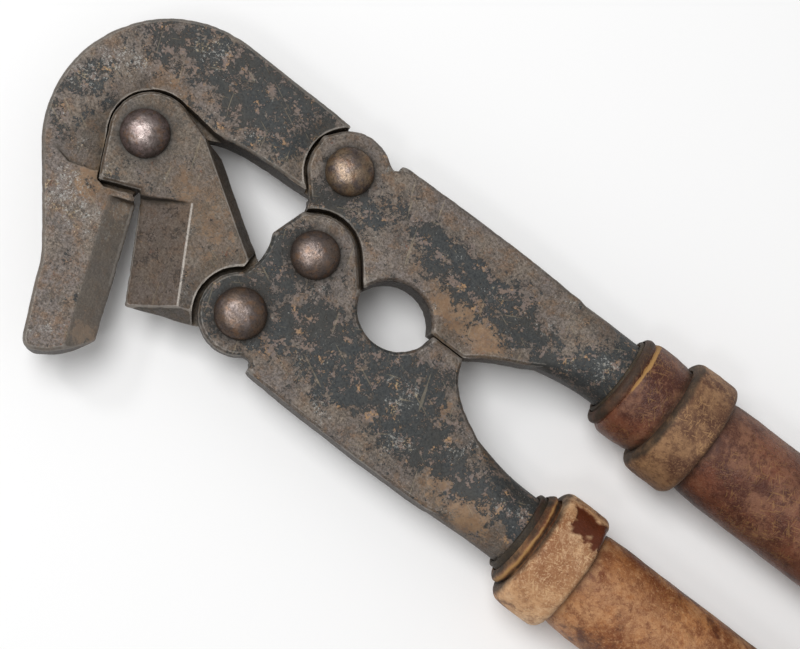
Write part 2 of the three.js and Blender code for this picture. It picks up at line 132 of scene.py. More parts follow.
class Look:
    """One procedural material.  Each method adds a node and returns its output socket."""

    def __init__(self, name, seed=0):
        self.material = bpy.data.materials.new(name)
        self.material.use_nodes = True
        self.tree = self.material.node_tree
        self.tree.nodes.clear()
        self.shader = self.tree.nodes.new("ShaderNodeBsdfPrincipled")
        output = self.tree.nodes.new("ShaderNodeOutputMaterial")
        self.tree.links.new(self.shader.outputs["BSDF"], output.inputs["Surface"])
        place_of = self.tree.nodes.new("ShaderNodeTexCoord").outputs["Object"]
        self.where = self.vector("ADD", place_of, (0.37 * seed, 0.61 * seed, 0.23 * seed))

    def put(self, socket, value):
        if isinstance(value, bpy.types.NodeSocket):
            self.tree.links.new(value, socket)
        elif socket.type == "RGBA":
            socket.default_value = (*value, 1.0)
        else:
            socket.default_value = value

    def node(self, kind, values, output=0, **settings):
        made = self.tree.nodes.new(kind)
        for key, value in settings.items():
            setattr(made, key, value)
        for key, value in values.items():
            self.put(made.inputs[key], value)
        return made.outputs[output]

    def vector(self, operation, a, b):
        return self.node("ShaderNodeVectorMath", {0: a, 1: b}, operation=operation)

    def scaled(self, vector, factor):
        return self.node("ShaderNodeVectorMath", {0: vector, "Scale": factor}, operation="SCALE")

    def sum(self, *terms):
        total = terms[0]
        for term in terms[1:]:
            total = self.node("ShaderNodeMath", {0: total, 1: term}, operation="ADD")
        return total

    def times(self, *terms):
        total = terms[0]
        for term in terms[1:]:
            total = self.node("ShaderNodeMath", {0: total, 1: term}, operation="MULTIPLY")
        return total

    def larger(self, a, b):
        return self.node("ShaderNodeMath", {0: a, 1: b}, operation="MAXIMUM")

    def without(self, a, b):
        """a, less wherever b is."""
        rest = self.node("ShaderNodeMath", {0: 1.0, 1: b}, operation="SUBTRACT")
        return self.times(a, rest)

    def noise(self, scale, detail=5.0, roughness=0.6, where=None, warp=0.0):
        values = {"Vector": where or self.where, "Scale": scale, "Detail": detail}
        values.update({"Roughness": roughness, "Distortion": warp})
        return self.node("ShaderNodeTexNoise", values)

    def cells(self, scale, feature="F1", output="Distance"):
        values = {"Vector": self.where, "Scale": scale}
        return self.node("ShaderNodeTexVoronoi", values, output, feature=feature)

    def attribute(self, name):
        return self.node("ShaderNodeAttribute", {}, "Fac", attribute_name=name)

    def band(self, value, start, end, low=0.0, high=1.0):
        """Runs from low to high as value goes from start to end."""
        values = {"Value": value, "From Min": start, "From Max": end, "To Min": low, "To Max": high}
        return self.node("ShaderNodeMapRange", values, interpolation_type="SMOOTHSTEP")

    def mix(self, factor, a, b):
        return self.node("ShaderNodeMix", {0: factor, 6: a, 7: b}, 2, data_type="RGBA")

    def shade(self, factor, a, b):
        return self.node("ShaderNodeMix", {0: factor, 2: a, 3: b}, 0, data_type="FLOAT")

    def strokes(self, scale, stretch, angle, threshold, seed=0.0):
        """Thin straight scratches lying at an angle in the plane of the tool."""
        turned_place = self.node(
            "ShaderNodeMapping",
            {"Vector": self.where, "Location": (seed, seed, 0), "Rotation": (0, 0, angle),
             "Scale": (stretch, 1, 3)},
            vector_type="TEXTURE",
        )
        lines = self.noise(scale, 2.0, 0.5, turned_place)
        return self.band(lines, threshold, threshold + 0.03)

    def finish(self, colour, roughness, metallic, height):
        """Joins everything to the shader.  The height, in millimetres, tilts its normal."""
        bump = self.node("ShaderNodeBump", {"Height": height, "Distance": MM, "Strength": 1.0})
        self.put(self.shader.inputs["Base Color"], colour)
        self.put(self.shader.inputs["Roughness"], roughness)
        self.put(self.shader.inputs["Metallic"], metallic)
        self.put(self.shader.inputs["Normal"], bump)
        return self.material


class ForgedLook(Look):
    """The layers of an old forging, each put over the colour under it."""

    def __init__(self, name, seed):
        super().__init__(name, seed)
        flake = self.vector("SUBTRACT", self.cells(900, output="Color"), (0.5, 0.5, 0.5))
        self.ragged = self.vector("ADD", self.where, self.scaled(flake, 1.5 * MM))
        self.broad = self.noise(60, 4, 0.6)
        self.mottle = self.noise(260, 8, 0.7)
        self.grain = self.noise(1300, 5, 0.7)
        self.dark = self.noise(210, 8, 0.72, self.ragged)

    def bare_steel(self):
        """Mottled brown-grey steel with pale and dark dots."""
        dots = self.noise(2300, 3, 0.6)
        steel = self.mix(self.band(self.broad, 0.38, 0.6), srgb(121, 110, 99), srgb(112, 104, 100))
        steel = self.mix(self.band(self.mottle, 0.46, 0.62, 0, 0.75), steel, srgb(113, 88, 67))
        steel = self.mix(self.band(self.dark, 0.52, 0.6, 0, 0.75), steel, srgb(82, 77, 72))
        steel = self.mix(self.band(self.grain, 0.42, 0.64, 0, 0.7), steel, srgb(76, 67, 59))
        steel = self.mix(self.band(dots, 0.54, 0.68, 0, 0.6), steel, srgb(142, 130, 116))
        return self.mix(self.band(dots, 0.44, 0.34, 0, 0.5), steel, srgb(56, 49, 43))

    def rusted(self, colour):
        """Tan patches, a stain round them, and spots of rust."""
        zone = self.attribute("tan")
        tan = self.sum(self.noise(300, 8, 0.74, self.ragged), self.times(zone, 0.3))
        self.tan = self.band(tan, 0.68, 0.74)
        tan_colour = self.mix(self.band(self.mottle, 0.4, 0.62), srgb(138, 110, 82), srgb(116, 86, 62))
        colour = self.mix(self.times(self.tan, 0.8), colour, tan_colour)
        stain = self.times(zone, self.band(self.noise(120, 5, 0.6), 0.3, 0.6))
        colour = self.mix(self.times(stain, 0.45), colour, srgb(126, 98, 68))
        rust = self.band(self.noise(240, 7, 0.7, self.ragged), 0.63, 0.7)
        return self.mix(self.times(rust, 0.7), colour, srgb(112, 66, 44))

    def painted(self, colour):
        """Islands of dark paint with a thin stain round them, flaked to bare metal in places."""
        islands = self.noise(520, 7, 0.72, self.ragged)
        level = self.sum(
            self.times(self.noise(170, 9, 0.7, self.ragged), 0.56),
            self.times(islands, 0.44),
            self.times(self.attribute("paint"), 0.15),
        )
        paint = self.band(level, 0.592, 0.602)
        paint_colour = self.mix(self.band(self.grain, 0.35, 0.65), srgb(38, 44, 48), srgb(64, 67, 67))
        brownish = self.band(self.broad, 0.4, 0.65, 0, 0.5)
        paint_colour = self.mix(brownish, paint_colour, srgb(54, 52, 47))
        thin = self.band(level, 0.5, 0.592)
        colour = self.mix(self.times(thin, 0.4), colour, srgb(80, 76, 73))
        colour = self.mix(self.times(paint, 0.94), colour, paint_colour)
        elsewhere = self.vector("ADD", self.ragged, (0.7, 0.1, 0.4))
        flaked = self.band(self.noise(250, 8, 0.7, elsewhere), 0.56, 0.575)
        self.flaked = self.times(flaked, self.band(level, 0.54, 0.6))
        self.paint = self.without(paint, self.flaked)
        bare = self.mix(self.band(islands, 0.4, 0.6), srgb(122, 103, 91), srgb(110, 99, 94))
        bare = self.mix(self.band(self.mottle, 0.54, 0.62), bare, srgb(160, 126, 90))
        return self.mix(self.times(self.flaked, 0.88), colour, bare)

    def chipped(self, colour):
        """Pale chips and specks."""
        zone = self.sum(self.noise(85, 3, 0.5), self.times(self.attribute("chips"), 0.16))
        zone = self.band(zone, 0.54, 0.7)
        chips = self.sum(self.noise(800, 8, 0.8, self.ragged), self.times(zone, 0.13))
        specks = self.band(self.noise(1050, 2, 0.5), 0.725, 0.75)
        chips = self.larger(self.band(chips, 0.665, 0.7), self.times(specks, 0.8))
        pale = self.mix(self.band(self.mottle, 0.5, 0.6), srgb(166, 165, 160), srgb(176, 156, 122))
        return self.mix(self.times(chips, 0.65), colour, pale)

    def scratched(self, colour):
        """Thin scratches in three directions."""
        scratches = self.larger(self.strokes(900, 11, 0.5, 0.69), self.strokes(800, 13, 1.9, 0.69, 3.1))
        self.scratches = self.larger(scratches, self.strokes(1000, 15, 2.7, 0.69, 7.7))
        return self.mix(self.times(self.scratches, 0.32), colour, srgb(150, 138, 116))

    def dirtied_and_shaded(self, colour, ground, smoke):
        """Ground bevels, painted shade on walls, dirt in hollows, dirt and painted shade beside pieces,
        grime round rivets, an even veil.
        """
        colour = self.mix(self.times(self.attribute("ground"), 0.45), colour, srgb(*ground))
        # Painted shade: steep side walls are darkened as if turned away from the light.
        colour = self.mix(self.times(self.attribute("wall_shade"), 0.72), colour, srgb(46, 41, 37))
        hollow = self.times(self.attribute("cave"), self.band(self.mottle, 0.3, 0.6, 0.5, 1.0))
        colour = self.mix(self.times(hollow, 0.75), colour, srgb(52, 44, 33))
        # Dirt and painted shade: olive darkening beside the other forgings.
        near = self.times(self.attribute("near"), self.band(self.mottle, 0.35, 0.6, 0.45, 1.0))
        olive = self.mix(self.band(self.dark, 0.44, 0.56), srgb(104, 82, 50), srgb(60, 51, 38))
        colour = self.mix(self.times(near, 0.85), colour, olive)
        grime = self.attribute("grime")
        ring = self.times(grime, self.band(self.mottle, 0.3, 0.62, 0.6, 1.0))
        colour = self.mix(ring, colour, srgb(34, 29, 23))
        # Dirt and painted shade together take the metal look off.
        self.dirt_and_shade = self.larger(hollow, self.larger(near, grime))
        return self.mix(smoke, colour, srgb(62, 60, 52))

    def rubbed_and_highlit(self, colour, edge_shine):
        """Edges and thin lines worn bright, and partly painted as a highlight."""
        # Worn bright edges and lines are drawn pale: real wear, and partly a painted highlight.
        edge = self.sum(self.attribute("wear_and_highlight"), self.times(self.noise(420, 5, 0.65), 0.7))
        edge = self.times(self.band(edge, 0.88, 1.15), edge_shine)
        line = self.sum(self.attribute("line"), self.times(self.noise(700, 5, 0.65), 0.5))
        self.edge = self.larger(edge, self.band(line, 0.68, 1.0, 0, 0.7))
        return self.mix(self.edge, colour, srgb(150, 144, 137))


def forged_look(name, seed, edge_shine, ground=(84, 66, 55), smoke=0.0):
    """Old forging: mottled bare steel, flaking dark paint, rust, chips, scratches, dirt, painted shade,
    worn edges and painted highlight.
    """
    look = ForgedLook(name, seed)
    colour = look.painted(look.rusted(look.bare_steel()))
    colour = look.scratched(look.chipped(colour))
    colour = look.rubbed_and_highlit(look.dirtied_and_shaded(colour, ground, smoke), edge_shine)
    roughness = look.band(look.grain, 0.3, 0.7, 0.5, 0.68)
    roughness = look.shade(look.paint, roughness, 0.5)
    roughness = look.shade(look.edge, roughness, 0.36)
    look.put(look.shader.inputs["Specular IOR Level"], look.shade(look.paint, 0.45, 0.22))
    coated = look.larger(look.paint, look.larger(look.tan, look.flaked))
    metallic = look.shade(look.dirt_and_shade, look.shade(coated, 0.5, 0.1), 0.0)
    height = look.sum(
        look.times(look.grain, 0.14),
        look.times(look.mottle, 0.2),
        look.times(look.paint, 0.07),
        look.times(look.scratches, -0.04),
        look.band(look.cells(620, "SMOOTH_F1"), 0.12, 0.34, -0.05, 0.0),
    )
    return look.finish(colour, roughness, metallic, height)


def rivet_look(name, seed, crown_highlight, tone):
    """Peened rivet head: brown patina, rubbed bright towards the crown, partly as a painted highlight."""
    look = Look(name, seed)
    cloud = look.noise(260, 6, 0.66)
    grain = look.noise(1500, 4, 0.66)
    colour = look.mix(look.band(cloud, 0.4, 0.6), srgb(*tone), srgb(84, 74, 70))
    colour = look.mix(look.band(grain, 0.45, 0.65, 0, 0.6), colour, srgb(56, 46, 41))
    colour = look.mix(look.band(look.noise(420, 6, 0.7), 0.52, 0.62, 0, 0.6), colour, srgb(112, 84, 62))
    # Crown drawn pale: rubbed metal, and partly a painted highlight.
    crown = look.sum(look.attribute("crown"), look.times(look.noise(380, 6, 0.72), 0.9))
    rubbed_and_highlit = look.band(crown, 1.15, 1.65)
    colour = look.mix(look.times(rubbed_and_highlit, crown_highlight), colour, srgb(168, 156, 152))
    foot = look.attribute("foot")
    colour = look.mix(look.times(foot, 0.9), colour, srgb(34, 28, 24))
    roughness = look.shade(rubbed_and_highlit, look.band(grain, 0.3, 0.7, 0.38, 0.54), 0.27)
    roughness = look.shade(foot, roughness, 0.8)
    metallic = look.shade(foot, 0.75, 0.1)
    height = look.sum(look.times(grain, 0.09), look.times(look.noise(520, 3, 0.5), 0.16))
    return look.finish(colour, roughness, metallic, height)


def leather_look(name, seed, dyes, gloss, fibres=0.3):
    """Old leather: mottled dye, dust and painted sheen, pores and grain, scuffs, rubbed rims, soil and
    painted shade.
    """
    look = Look(name, seed)
    deep, middle, dust_and_sheen_tone, rim = dyes
    cloud = look.noise(34, 6, 0.62)
    mottle = look.noise(190, 8, 0.7)
    speckle = look.noise(560, 7, 0.7)
    grain = look.noise(1700, 4, 0.65)
    colour = look.mix(look.band(cloud, 0.4, 0.58), deep, middle)
    # Dust everywhere, plus a painted sheen where the grip is marked for it.
    dust_and_sheen = look.band(look.noise(48, 6, 0.68), 0.47, 0.62, 0, 0.8)
    dust_and_sheen = look.larger(dust_and_sheen, look.times(look.attribute("dust_and_sheen"), look.band(mottle, 0.36, 0.6)))
    colour = look.mix(dust_and_sheen, colour, dust_and_sheen_tone)
    colour = look.mix(look.band(mottle, 0.5, 0.62, 0, 0.7), colour, deep)
    colour = look.mix(look.band(speckle, 0.5, 0.64, 0, 0.6), colour, deep)
    colour = look.mix(look.band(speckle, 0.46, 0.34, 0, 0.55), colour, dust_and_sheen_tone)
    colour = look.mix(look.band(grain, 0.52, 0.68, 0, 0.5), colour, dust_and_sheen_tone)
    blot = look.band(look.noise(75, 7, 0.66), 0.57, 0.66, 0, 0.75)
    colour = look.mix(blot, colour, srgb(66, 27, 13))
    scuffs = look.larger(look.strokes(1900, 7, 0.35, 0.61), look.strokes(1700, 8, -0.9, 0.62, 2.2))
    scuffs = look.larger(scuffs, look.strokes(2100, 7, 1.6, 0.62, 5.1))
    scuffs = look.times(scuffs, look.band(look.noise(70, 4, 0.6), 0.4, 0.6))
    colour = look.mix(look.times(scuffs, fibres), colour, rim)
    pores = look.band(look.cells(1150), 0.2, 0.08)
    pores = look.times(pores, look.band(mottle, 0.42, 0.55))
    colour = look.mix(look.times(pores, 0.6), colour, srgb(44, 27, 19))
    worn = look.sum(look.attribute("rim"), look.times(look.noise(300, 6, 0.72), 0.8))
    worn = look.band(worn, 0.85, 1.2)
    colour = look.mix(look.times(worn, 0.85), colour, rim)
    torn = look.attribute("torn")
    colour = look.mix(torn, colour, look.mix(mottle, srgb(48, 18, 8), srgb(112, 54, 28)))
    # Soil, and painted shade along the grips' side edges and in the creases by the collars.
    soil_and_shade = look.times(look.attribute("soil_and_shade"), look.band(mottle, 0.3, 0.6, 0.65, 1.0))
    colour = look.mix(soil_and_shade, colour, srgb(52, 41, 30))
    roughness = look.shade(dust_and_sheen, gloss, 0.66)
    roughness = look.shade(look.larger(worn, soil_and_shade), roughness, 0.78)
    roughness = look.shade(torn, roughness, 0.3)
    height = look.sum(
        look.times(grain, 0.1),
        look.times(speckle, 0.18),
        look.times(mottle, 0.24),
        look.band(look.cells(1500, "SMOOTH_F1"), 0.1, 0.45, 0.0, 0.05),
        look.times(pores, -0.07),
        look.times(scuffs, 0.05 * fibres),
    )
    look.shader.inputs["Specular IOR Level"].default_value = 0.34
    look.shader.inputs["Coat Weight"].default_value = 0.06
    look.shader.inputs["Coat Roughness"].default_value = 0.4
    return look.finish(colour, roughness, 0.0, height)


def wood_look(name):
    look = Look(name, 5)
    along = look.node("ShaderNodeMapping", {"Vector": look.where, "Scale": (0.06, 1, 1)})
    rings = look.noise(420, 5, 0.6, along, 0.6)
    colour = look.mix(look.band(rings, 0.35, 0.65), srgb(154, 116, 76), srgb(110, 78, 48))
    return look.finish(colour, 0.62, 0.0, look.times(rings, 0.12))


def plain_steel_look(name, seed):
    look = Look(name, seed)
    cloud = look.noise(240, 6, 0.65)
    grain = look.noise(1600, 4, 0.6)
    colour = look.mix(look.band(cloud, 0.4, 0.62), srgb(108, 104, 100), srgb(98, 80, 64))
    colour = look.mix(look.band(grain, 0.5, 0.7, 0, 0.6), colour, srgb(62, 56, 50))
    edge = look.band(look.sum(look.attribute("rim"), look.times(cloud, 0.6)), 0.8, 1.05)
    colour = look.mix(look.times(edge, 0.7), colour, srgb(160, 156, 150))
    roughness = look.shade(edge, look.band(grain, 0.3, 0.7, 0.42, 0.62), 0.34)
    return look.finish(colour, roughness, 0.8, look.sum(look.times(grain, 0.08), look.times(cloud, 0.1)))


def thread_look(name):
    look = Look(name, 8)
    colour = look.mix(look.noise(900, 4, 0.6), srgb(96, 70, 44), srgb(158, 124, 84))
    return look.finish(colour, 0.75, 0.0, look.times(look.noise(2600, 3, 0.6), 0.08))


# ---- mesh tools ------------------------------------------------------------------------


def new_object(name, mesh, material, body, slot, *nodes):
    thing = bpy.data.objects.new(name, mesh)
    bpy.context.scene.collection.objects.link(thing)
    mesh.materials.clear()
    mesh.materials.append(material)
    for polygon in mesh.polygons:
        polygon.use_smooth = True
    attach(thing, body)
    if nodes:
        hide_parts(*nodes)


def points_of(mesh):
    values = np.empty(len(mesh.vertices) * 3, np.float32)
    mesh.vertices.foreach_get("co", values)
    return values.reshape(-1, 3).astype(float)


def normals_of(mesh):
    values = np.empty(len(mesh.vertices) * 3, np.float32)
    mesh.vertices.foreach_get("normal", values)
    return values.reshape(-1, 3).astype(float)


def edges_of(mesh):
    values = np.empty(len(mesh.edges) * 2, np.int64)
    mesh.edges.foreach_get("vertices", values)
    return values.reshape(-1, 2)


def set_points(mesh, points):
    mesh.vertices.foreach_set("co", points.astype(np.float32).ravel())
    mesh.update()


def set_attribute(mesh, name, values):
    layer = mesh.attributes.get(name) or mesh.attributes.new(name, "FLOAT", "POINT")
    layer.data.foreach_set("value", np.clip(values, 0, 1).astype(np.float32))


def averaged(points, edges, degree):
    """Each point's neighbours' mean."""
    total = np.empty_like(points)
    for axis in range(3):
        first = np.bincount(edges[:, 0], points[edges[:, 1], axis], len(points))
        second = np.bincount(edges[:, 1], points[edges[:, 0], axis], len(points))
        total[:, axis] = (first + second) / degree
    return total


def field(points, scale, octaves=1, offset=0.0):
    """Smooth noise from -1 to 1 at each point; scale is in features per metre."""
    total = np.zeros(len(points))
    size = 1.0
    for octave in range(octaves):
        frequency = scale * 2 ** octave
        shift = offset + 11.3 * octave
        values = [noise.noise((x * frequency + shift, y * frequency, z * frequency)) for x, y, z in points]
        total += size * np.array(values)
        size *= 0.5
    return total


def remeshed(node, cut_x=None):
    """A fine even copy of a CAD node, cut off behind cut_x where that is given."""
    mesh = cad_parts[node].data.copy()
    shape = bmesh.new()
    shape.from_mesh(mesh)
    bmesh.ops.remove_doubles(shape, verts=shape.verts, dist=0.001 * MM)
    if cut_x is not None:
        everything = [*shape.verts, *shape.edges, *shape.faces]
        cut = bmesh.ops.bisect_plane(
            shape, geom=everything, plane_co=(cut_x, 0, 0), plane_no=(-1, 0, 0), clear_outer=True
        )
        rim = [item for item in cut["geom_cut"] if isinstance(item, bmesh.types.BMEdge)]
        bmesh.ops.triangle_fill(shape, edges=rim, use_beauty=True)
    shape.to_mesh(mesh)
    shape.free()
    thing = bpy.data.objects.new("remeshing", mesh)
    bpy.context.scene.collection.objects.link(thing)
    cells = thing.modifiers.new("cells", "REMESH")
    cells.mode = "VOXEL"
    cells.voxel_size = VOXEL
    bpy.context.view_layer.update()
    fine = bpy.data.meshes.new_from_object(thing.evaluated_get(bpy.context.evaluated_depsgraph_get()))
    bpy.data.objects.remove(thing)
    return fine


def corner_points(points, radius, steps=4):
    """An outline whose corners are rounded off, as a closed list of (along, out)."""
    result = []
    count = len(points)
    for i in range(count):
        before, here, after = (np.array(points[(i + k) % count], float) for k in (-1, 0, 1))
        into, out = before - here, after - here
        reach = min(radius, np.linalg.norm(into) * 0.49, np.linalg.norm(out) * 0.49)
        start = here + into / max(np.linalg.norm(into), 1e-9) * reach
        end = here + out / max(np.linalg.norm(out), 1e-9) * reach
        for k in range(steps + 1):
            t = k / steps
            result.append((1 - t) ** 2 * start + 2 * t * (1 - t) * here + t * t * end)
    return result


def divided(points, step):
    """The same closed outline with its long straights cut into short ones."""
    result = []
    for i, here in enumerate(points):
        after = points[(i + 1) % len(points)]
        pieces = max(1, int(np.linalg.norm(after - here) / step))
        result += [here + (after - here) * k / pieces for k in range(pieces)]
    return result


def ring_mesh(name, middle, outline, around=GRIP_AROUND):
    """Turns a closed outline of (place along X, radius) about a line through middle."""
    angles = np.arange(around) * 2 * math.pi / around
    vertices = []
    for along, out in outline:
        for angle in angles:
            vertices.append((along, middle.y + out * math.cos(angle), middle.z + out * math.sin(angle)))
    faces = []
    count = len(outline)
    for i in range(count):
        for k in range(around):
            a, b = i * around + k, i * around + (k + 1) % around
            c, d = ((i + 1) % count) * around + (k + 1) % around, ((i + 1) % count) * around + k
            faces.append((a, b, c, d))
    mesh = bpy.data.meshes.new(name)
    mesh.from_pydata(vertices, [], faces)
    shape = bmesh.new()
    shape.from_mesh(mesh)
    bmesh.ops.recalc_face_normals(shape, faces=shape.faces)
    shape.to_mesh(mesh)
    shape.free()
    return mesh


# ---- forgings --------------------------------------------------------------------------


def blobs(points, spots):
    """Strength at each point of round zones, each (x, y, radius, strength) in millimetres."""
    total = np.zeros(len(points))
    for x, y, radius, strength in spots:
        middle = place(x, y)
        distance = np.hypot(points[:, 0] - middle.x, points[:, 1] - middle.y)
        total += strength * np.exp(-((distance / (radius * MM)) ** 2))
    return total


def nearness(points, nodes, reach):
    """Strength at each point of the dirt and painted shade that gather beside the faces of other CAD
    nodes.
    """
    result = np.zeros(len(points))
    for node in nodes:
        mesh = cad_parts[node].data
        tree = BVHTree.FromPolygons(
            [vertex.co for vertex in mesh.vertices], [tuple(polygon.vertices) for polygon in mesh.polygons]
        )
        limit = 4 * reach
        found = [tree.find_nearest(point, limit)[3] for point in points.tolist()]
        distance = np.array([limit if value is None else value for value in found])
        result = np.maximum(result, np.exp(-distance / reach))
    return result


def lines_at(points, lines):
    """Strength of thin worn lines, partly painted highlight, each (x1, y1, x2, y2, width) in millimetres.
    """
    result = np.zeros(len(points))
    for x1, y1, x2, y2, width in lines:
        start, end = place(x1, y1), place(x2, y2)
        along = np.array([end.x - start.x, end.y - start.y])
        to_point = points[:, :2] - np.array([start.x, start.y])
        share = np.clip(to_point @ along / (along @ along), 0, 1)
        gap = np.linalg.norm(to_point - share[:, None] * along, axis=1)
        result = np.maximum(result, np.exp(-((gap / (width * MM)) ** 2)))
    return result


def rivet_grime(points):
    """Strength at each point of the grime round the rivet heads."""
    result = np.zeros(len(points))
    for node in RIVETS:
        middle = centre(node)
        low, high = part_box(node)
        radius = (high.x - low.x) / 2
        distance = np.hypot(points[:, 0] - middle.x, points[:, 1] - middle.y) - radius
        result = np.maximum(result, np.exp(-np.maximum(distance, 0) / (1.5 * MM)))
    return result * (np.abs(points[:, 2] - PIVOT.z) > 5 * MM)


def sink(moved, points, normals, dips):
    """Lowers round places of the front face."""
    front = np.clip((points[:, 2] - PIVOT.z) / (3 * MM), 0, 1) * np.clip(normals[:, 2] * 2, 0, 1)
    for x, y, inner, width, fall in dips:
        middle = place(x, y)
        distance = np.hypot(points[:, 0] - middle.x, points[:, 1] - middle.y) / MM
        slope = np.exp(-((np.maximum(distance - inner, 0) / width) ** 2))
        moved[:, 2] -= front * slope * fall * MM


def forging(name, material, seed, zones, cut_x=None):
    """A forged piece with rounded, nicked edges, a slightly uneven skin and its maps of wear, dirt,
    painted shade and painted highlight.
    """
    mesh = remeshed(name, cut_x)
    edges = edges_of(mesh)
    points = points_of(mesh)
    degree = np.maximum(np.bincount(edges.ravel(), minlength=len(points)), 1)
    for _ in range(SURFACE_ROUNDS):
        points += 0.5 * (averaged(points, edges, degree) - points)
        points -= 0.52 * (averaged(points, edges, degree) - points)
    set_points(mesh, points)
    normals = normals_of(mesh)

    relaxed = points.copy()
    for _ in range(WEAR_ROUNDS):
        relaxed += 0.5 * (averaged(relaxed, edges, degree) - relaxed)
    lift = np.einsum("ij,ij->i", relaxed - points, normals) / MM
    # Convex edges: these get nicks, and are drawn worn bright, partly as a painted highlight.
    wear_and_highlight = np.clip(-lift / 0.22, 0, 1)
    # Closeness to the other forgings: the skin swells less there, and the colour darkens as dirt and
    # painted shade.
    near = nearness(points, [other for other in FORGED if other != name], 1.5 * MM)

    swell = 0.5 + 0.5 * field(points, 75, 2, seed)
    pits = np.clip(field(points, 520, 1, seed + 5) - 0.35, 0, 1)
    nicks = np.clip(field(points, 300, 2, seed + 9) + 0.1, 0, 1)
    fuller = (0.08 + 0.22 * (1 - near)) * (1 - np.clip(blobs(points, zones.get("tight", ())), 0, 1))
    depth = 0.16 * swell + 0.2 * pits + 0.28 * wear_and_highlight * nicks - fuller
    moved = points - normals * (depth * MM)[:, None]
    sink(moved, points, normals, zones.get("dips", ()))
    set_points(mesh, moved)

    flat = np.abs(normals[:, 2])
    bevel = np.clip((0.975 - flat) / 0.04, 0, 1) * np.clip((flat - 0.6) / 0.1, 0, 1)
    set_attribute(mesh, "wear_and_highlight", wear_and_highlight * (1 - np.clip(blobs(points, zones.get("dull", ())), 0, 1)))
    set_attribute(mesh, "cave", lift / 0.25)
    # Painted shade map: steep side walls, darkened in the colour.
    set_attribute(mesh, "wall_shade", 1 - flat * 1.25)
    set_attribute(mesh, "ground", bevel * zones.get("ground", 0))
    set_attribute(mesh, "grime", rivet_grime(points))
    set_attribute(mesh, "near", near)
    set_attribute(mesh, "line", lines_at(points, zones.get("lines", ())) * (flat > 0.5))
    for kind in ("paint", "tan", "chips"):
        set_attribute(mesh, kind, blobs(points, zones[kind]))
    new_object(name + "_forging", mesh, material, name, "forged_steel", name)


# Zones of each forging, in millimetres from the lever rivet.  "paint", "tan" and "chips" are
# round zones where there is more of each, "dull" takes bright wear and painted highlight off,
# and "tight" keeps the skin from swelling where another piece passes close: (x, y, radius,
# strength).  "dips" are sunk places: (x, y, flat radius, width of the slope, depth).  "lines"
# are worn bright lines, partly painted highlight: (x1, y1, x2, y2, width).  "ground" is how
# much the bevels look ground.
FIXED_JAW_ZONES = {
    "paint": [(38, -26, 13, 1.2), (52, -30, 11, 0.95), (20, -30, 9, 0.9), (78, -24, 10, 0.7),
              (84, 0, 9, 0.75), (84, 14, 7, 0.5), (66, -27, 9, 0.65)],
    "tan": [(46, -22, 5, 0.7), (66, 23, 5, 1.5), (54, 24, 5, 0.9), (40, 60, 4, 1.4),
            (66, -16, 8, 0.6), (18, -24, 5, 0.6)],
    "chips": [(84, -6, 12, 1.0), (70, -32, 10, 0.9), (70, 30, 10, 1.1), (56, 30, 6, 0.8),
              (49, 26, 4, 1.3), (45, 36, 3, 1.2), (60, 46, 7, 0.5)],
    "dips": [(7, -26.5, 13.9, 4.5, 1.3), (60.65, 0.45, 13.3, 4.5, 1.3), (57, 20, 0, 4.5, 1.3),
             (64, 22, 0, 3.5, 0.7)],
    "tight": [(52, -11, 9, 2.0), (40, -10, 9, 2.0), (30, -10, 8, 2.0)],
    "dull": [(74, 18.5, 8, 1.2), (66, 21, 6, 1.2), (57, 20, 5, 1.0), (48, -10, 10, 0.6)],
    "lines": [(51.7, 21, 43, 43, 1.2)],
    "ground": 1.0,
}
MOVING_JAW_ZONES = {
    "paint": [(60, 16, 8, 0.3), (38, 25, 13, 0.4)],
    "tan": [(34, 8, 11, 0.6), (24, 18, 8, 0.5), (46, 6, 8, 0.4)],
    "chips": [(64, 12, 8, 0.3)],
    "dips": [(7, 27.5, 14.4, 3, 0.9)],
    "tight": [(54, -9, 9, 2.0), (44, -5, 9, 2.0), (34, -1, 9, 2.0), (24, 4, 8, 2.0)],
    "dull": [(49, 15, 5, 0.9), (43, 12, 5, 0.8)],
    "lines": [(38.2, 10.2, 22.4, 38.2, 0.4), (35.7, 45.7, 22.4, 41.2, 0.4),
              (64.6, 21.1, 52.9, 16, 0.4), (64.6, 21.1, 71.9, 6.2, 0.35)],
    "ground": 1.0,
}
UPPER_LEVER_ZONES = {
    "paint": [(6, -16, 8, 0.9), (-6, -22, 7, 0.8), (-24, -24, 7, 1.1), (-34, -24, 7, 1.2),
              (-44, -22, 7, 1.2), (-54, -22, 7, 1.1), (-62, -22, 7, 1.0), (-74, -16, 7, 0.9),
              (-84, -18, 7, 1.1), (-94, -24, 10, 1.2), (-94, -36, 8, 0.8)],
    "tan": [(-40, -14, 6, 1.2), (-50, -13, 7, 1.4), (-58, -12, 5, 1.0), (-28, -17, 5, 0.6),
            (-62, -24, 6, 0.5)],
    "chips": [(-90, -30, 10, 0.3)],
    "dips": [(-50, -7, 0, 6, 1.8), (0, 0, 14.4, 3.5, 1.3)],
}
LOWER_LEVER_ZONES = {
    "paint": [(6, 4, 10, 1.2), (12, 26, 12, 1.2), (-2, 28, 8, 0.7), (-14, 16, 10, 1.1),
              (-26, 24, 10, 1.1), (-38, 18, 11, 1.2), (-50, 12, 8, 1.0), (-52, 24, 10, 1.1),
              (-64, 26, 9, 0.9), (-78, 26, 8, 0.9), (-92, 20, 8, 1.2), (-98, 26, 8, 1.1)],
    "tan": [(-70, 30, 8, 0.9), (-84, 34, 8, 1.2), (-58, 14, 5, 0.8), (-2, 30, 6, 0.6),
            (-44, 26, 6, 0.6)],
    "chips": [(-10, 24, 8, 0.3)],
}


